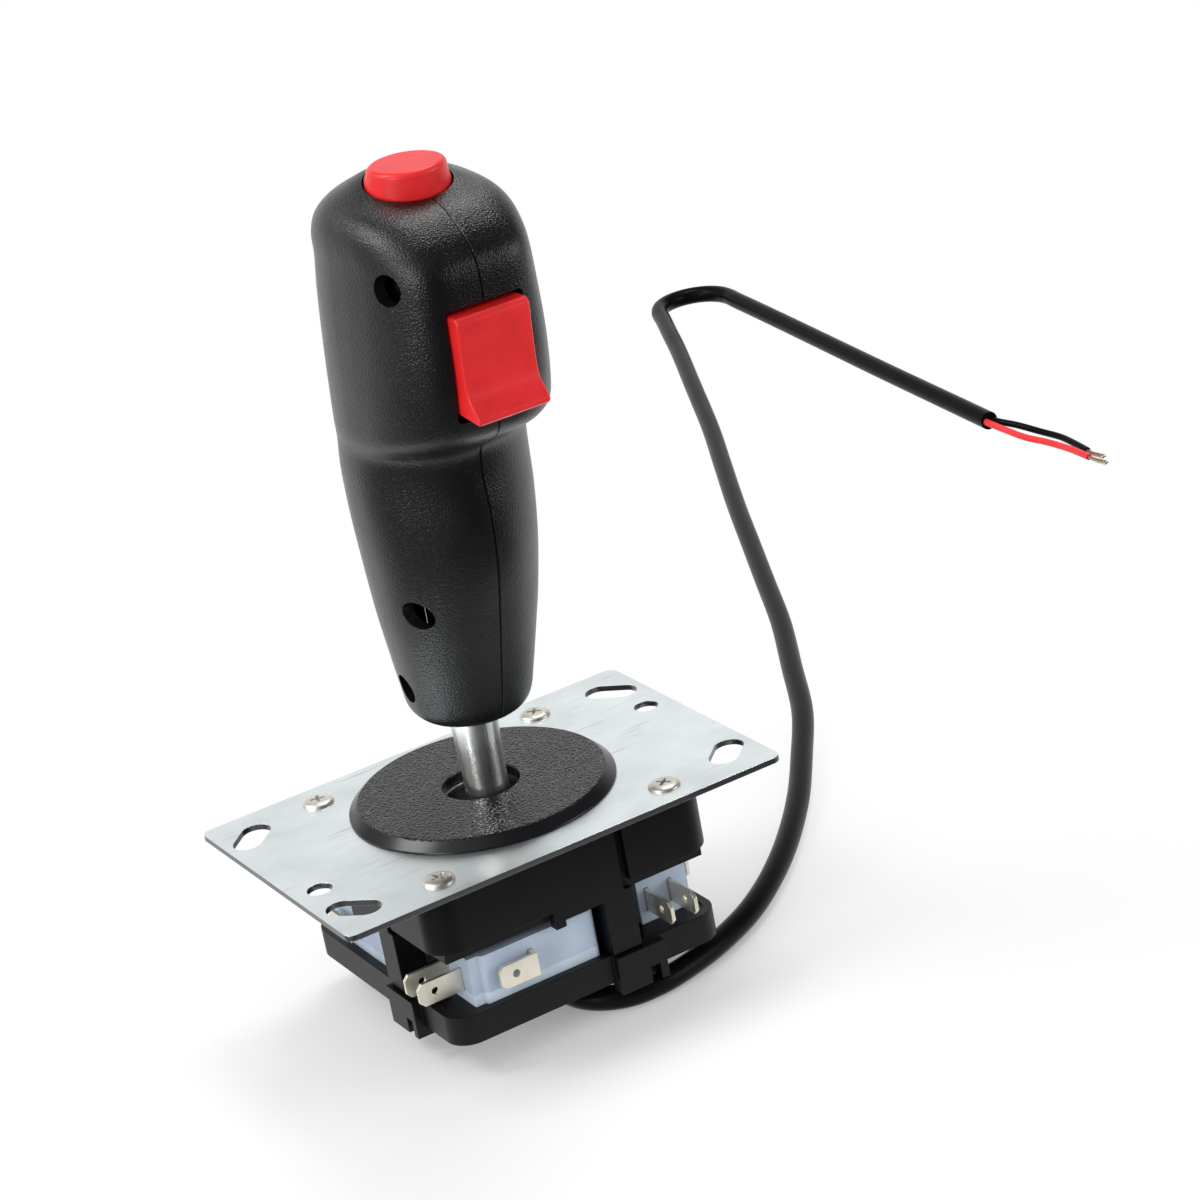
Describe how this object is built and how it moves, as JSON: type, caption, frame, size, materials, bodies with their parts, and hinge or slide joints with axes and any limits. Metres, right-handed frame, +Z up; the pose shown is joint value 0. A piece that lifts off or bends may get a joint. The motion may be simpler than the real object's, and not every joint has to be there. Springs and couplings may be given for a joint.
{
  "type": "arcade flight joystick",
  "caption": "Arcade flight joystick: pistol grip with trigger and thumb button on a ball-pivot shaft, over a slotted plate and a square switch base with a trailing cable.",
  "frame": {"origin": "on the shaft's axis, at the level of the collar that the base stands on", "axes": "+Z up along the shaft, X along the plate's long side, -Y towards the trigger"},
  "size_m": [0.3126, 0.3849, 0.1738],
  "materials": {
    "plate_zinc": "zinc plated, lightly scratched",
    "screw_nickel": "nickel plated",
    "black_plastic": "moulded satin",
    "grip_black": "fine spark texture",
    "switch_case": "moulded matt",
    "switch_cover": "moulded matt",
    "tab_tin": "tin plated",
    "plunger_plastic": "moulded",
    "nylon": "moulded",
    "washer_black": "leather grain on top",
    "shaft_plated": "bright plated",
    "steel": "plain",
    "red_plastic": "moulded satin gloss",
    "cable_black": "soft satin",
    "lead_red": "soft satin",
    "strand_copper": "bare"
  },
  "bodies": {
    "base": {"mounting_plate": "plate_zinc", "plate_screws": "screw_nickel", "upper_housing": "black_plastic", "bottom_tray": "black_plastic", "switch_front_case": "switch_case", "switch_left_case": "switch_case", "switch_back_case": "switch_case", "switch_right_case": "switch_case", "switch_front_cover": "switch_cover", "switch_left_cover": "switch_cover", "switch_back_cover": "switch_cover", "switch_right_cover": "switch_cover", "switch_front_tabs": "tab_tin", "switch_left_tabs": "tab_tin", "switch_back_tabs": "tab_tin", "switch_right_tabs": "tab_tin", "pivot_seat": "nylon", "pivot_cap": "black_plastic", "spring_seat": "steel", "cable_entry": "cable_black", "cable_sheath": "cable_black", "lead_red": "lead_red", "lead_black": "cable_black", "lead_strands": "strand_copper"},
    "rocker": {"centering_spring": "steel"},
    "stick": {"shaft": "shaft_plated", "pivot_ball": "nylon", "actuator": "nylon", "e_clip": "steel", "grip_shell_left": "grip_black", "grip_shell_right": "grip_black", "grip_screws": "steel", "set_screws": "steel", "button_spring": "steel", "top_switch_case": "black_plastic", "top_switch_tabs": "tab_tin", "trigger_pin": "steel", "trigger_spring": "steel", "trigger_switch_case": "black_plastic", "trigger_switch_tabs": "tab_tin", "stick_cable": "cable_black", "stick_wire_red": "lead_red", "stick_wire_black": "cable_black"},
    "button": {"top_button": "red_plastic"},
    "button_plunger": {"top_switch_plunger": "plunger_plastic"},
    "trigger_lever": {"trigger": "red_plastic"},
    "trigger_plunger": {"trigger_switch_plunger": "plunger_plastic"},
    "washer": {"dust_washer": "washer_black"},
    "plunger_front": {"switch_front_plunger": "plunger_plastic"},
    "plunger_left": {"switch_left_plunger": "plunger_plastic"},
    "plunger_back": {"switch_back_plunger": "plunger_plastic"},
    "plunger_right": {"switch_right_plunger": "plunger_plastic"}
  },
  "joints": [
    {"name": "tilt_sideways", "type": "hinge", "parent": "base", "child": "rocker", "pos_m": [0, 0, 0.034], "axis": [0, 1, 0], "range_deg": [-10, 10], "stiffness_Nm_per_rad": 3, "deforming": ["centering_spring"]},
    {"name": "tilt_fore_aft", "type": "hinge", "parent": "rocker", "child": "stick", "pos_m": [0, 0, 0.034], "axis": [1, 0, 0], "range_deg": [-10, 10], "stiffness_Nm_per_rad": 3, "deforming": ["centering_spring"]},
    {"name": "button_press", "type": "slide", "parent": "stick", "child": "button", "axis": [0, 0.309, -0.9511], "range_m": [0, 0.0018], "stiffness_N_per_m": 500, "deforming": ["button_spring"]},
    {"name": "button_plunger_slide", "type": "slide", "parent": "stick", "child": "button_plunger", "axis": [0, 0.309, -0.9511], "range_m": [0, 0.0018]},
    {"name": "trigger_pull", "type": "hinge", "parent": "stick", "child": "trigger_lever", "pos_m": [0, -0.0345, 0.1465], "axis": [1, 0, 0], "range_deg": [0, 7], "stiffness_Nm_per_rad": 0.25, "deforming": ["trigger_spring"]},
    {"name": "trigger_plunger_slide", "type": "slide", "parent": "stick", "child": "trigger_plunger", "axis": [0, 1, 0], "range_m": [0, 0.0016]},
    {"name": "washer_slide", "type": "slide", "parent": "base", "child": "washer", "axis": [0, -1, 0], "range_m": [-0.00132, 0.00132]},
    {"name": "plunger_front_slide", "type": "slide", "parent": "base", "child": "plunger_front", "axis": [0, -1, 0], "range_m": [-0.00101, 0.00101]},
    {"name": "plunger_left_slide", "type": "slide", "parent": "base", "child": "plunger_left", "axis": [-1, 0, 0], "range_m": [-0.00101, 0.00101]},
    {"name": "plunger_back_slide", "type": "slide", "parent": "base", "child": "plunger_back", "axis": [0, 1, 0], "range_m": [-0.00101, 0.00101]},
    {"name": "plunger_right_slide", "type": "slide", "parent": "base", "child": "plunger_right", "axis": [1, 0, 0], "range_m": [-0.00101, 0.00101]}
  ],
  "couplings": [
    {"joint": "button_plunger_slide", "follows": "button_press", "ratio": 1},
    {"joint": "washer_slide", "follows": "tilt_fore_aft", "m_per_rad": 0.0075},
    {"joint": "trigger_plunger_slide", "follows": "trigger_pull", "m_per_rad": 0.01252},
    {"joint": "plunger_front_slide", "follows": "tilt_fore_aft", "m_per_rad": -0.00573},
    {"joint": "plunger_left_slide", "follows": "tilt_sideways", "m_per_rad": 0.00573},
    {"joint": "plunger_back_slide", "follows": "tilt_fore_aft", "m_per_rad": 0.00573},
    {"joint": "plunger_right_slide", "follows": "tilt_sideways", "m_per_rad": -0.00573}
  ]
}
